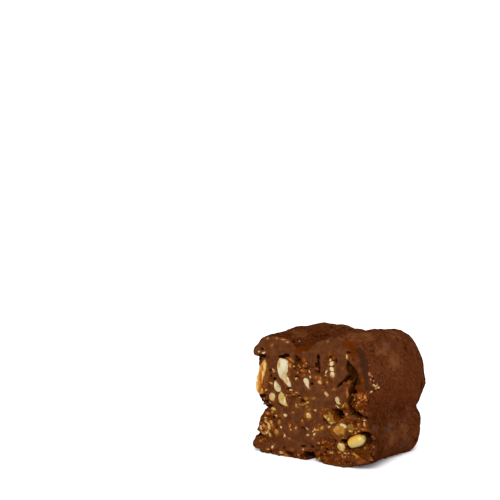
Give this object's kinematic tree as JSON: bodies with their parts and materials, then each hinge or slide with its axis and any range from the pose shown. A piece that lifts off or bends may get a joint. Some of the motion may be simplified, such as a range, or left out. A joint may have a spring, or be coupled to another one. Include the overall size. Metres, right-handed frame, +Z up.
{
  "type": "chocolate truffle",
  "caption": "Soft nut chocolate truffle, a four-lobed log cut across: rounded and cocoa-dusted at the back, with chopped nuts showing in the broken cut in front.",
  "frame": {"origin": "under the middle of the piece, at the level of the surface it lies on", "axes": "+Z up, +X to the right along the cut face as seen from the front, +Y along the log away from the cut; the cut face looks along -Y"},
  "size_m": [0.0188, 0.0168, 0.0163],
  "materials": {
    "chocolate": "soft nut chocolate, satin where the knife smeared it, dusted with cocoa on the skin",
    "nut_white": "cut white nut, dull satin",
    "nut_toasted": "toasted nut with cream streaks, satin",
    "nut_yellow": "pale yellow nut, satin with a soft shine",
    "nut_amber": "amber nut under a film of chocolate oil, satin",
    "nut_crumb": "fine crumbs of nut and praline, dull"
  },
  "bodies": {
    "root": {"truffle_body": "chocolate", "nut_upper_left": "nut_white", "nut_upper_left_tail": "nut_white", "nut_left_edge": "nut_toasted", "nut_slip_left": "nut_white", "nut_cream_left": "nut_toasted", "nut_yellow_left": "nut_yellow", "nut_centre_high": "nut_white", "nut_broken_high": "nut_white", "nut_centre_low": "nut_toasted", "nut_right_slip": "nut_white", "nut_long": "nut_toasted", "nut_brown_low": "nut_amber", "nut_amber": "nut_amber", "nut_pale_low": "nut_yellow", "nut_oval": "nut_yellow"}
  },
  "joints": []
}
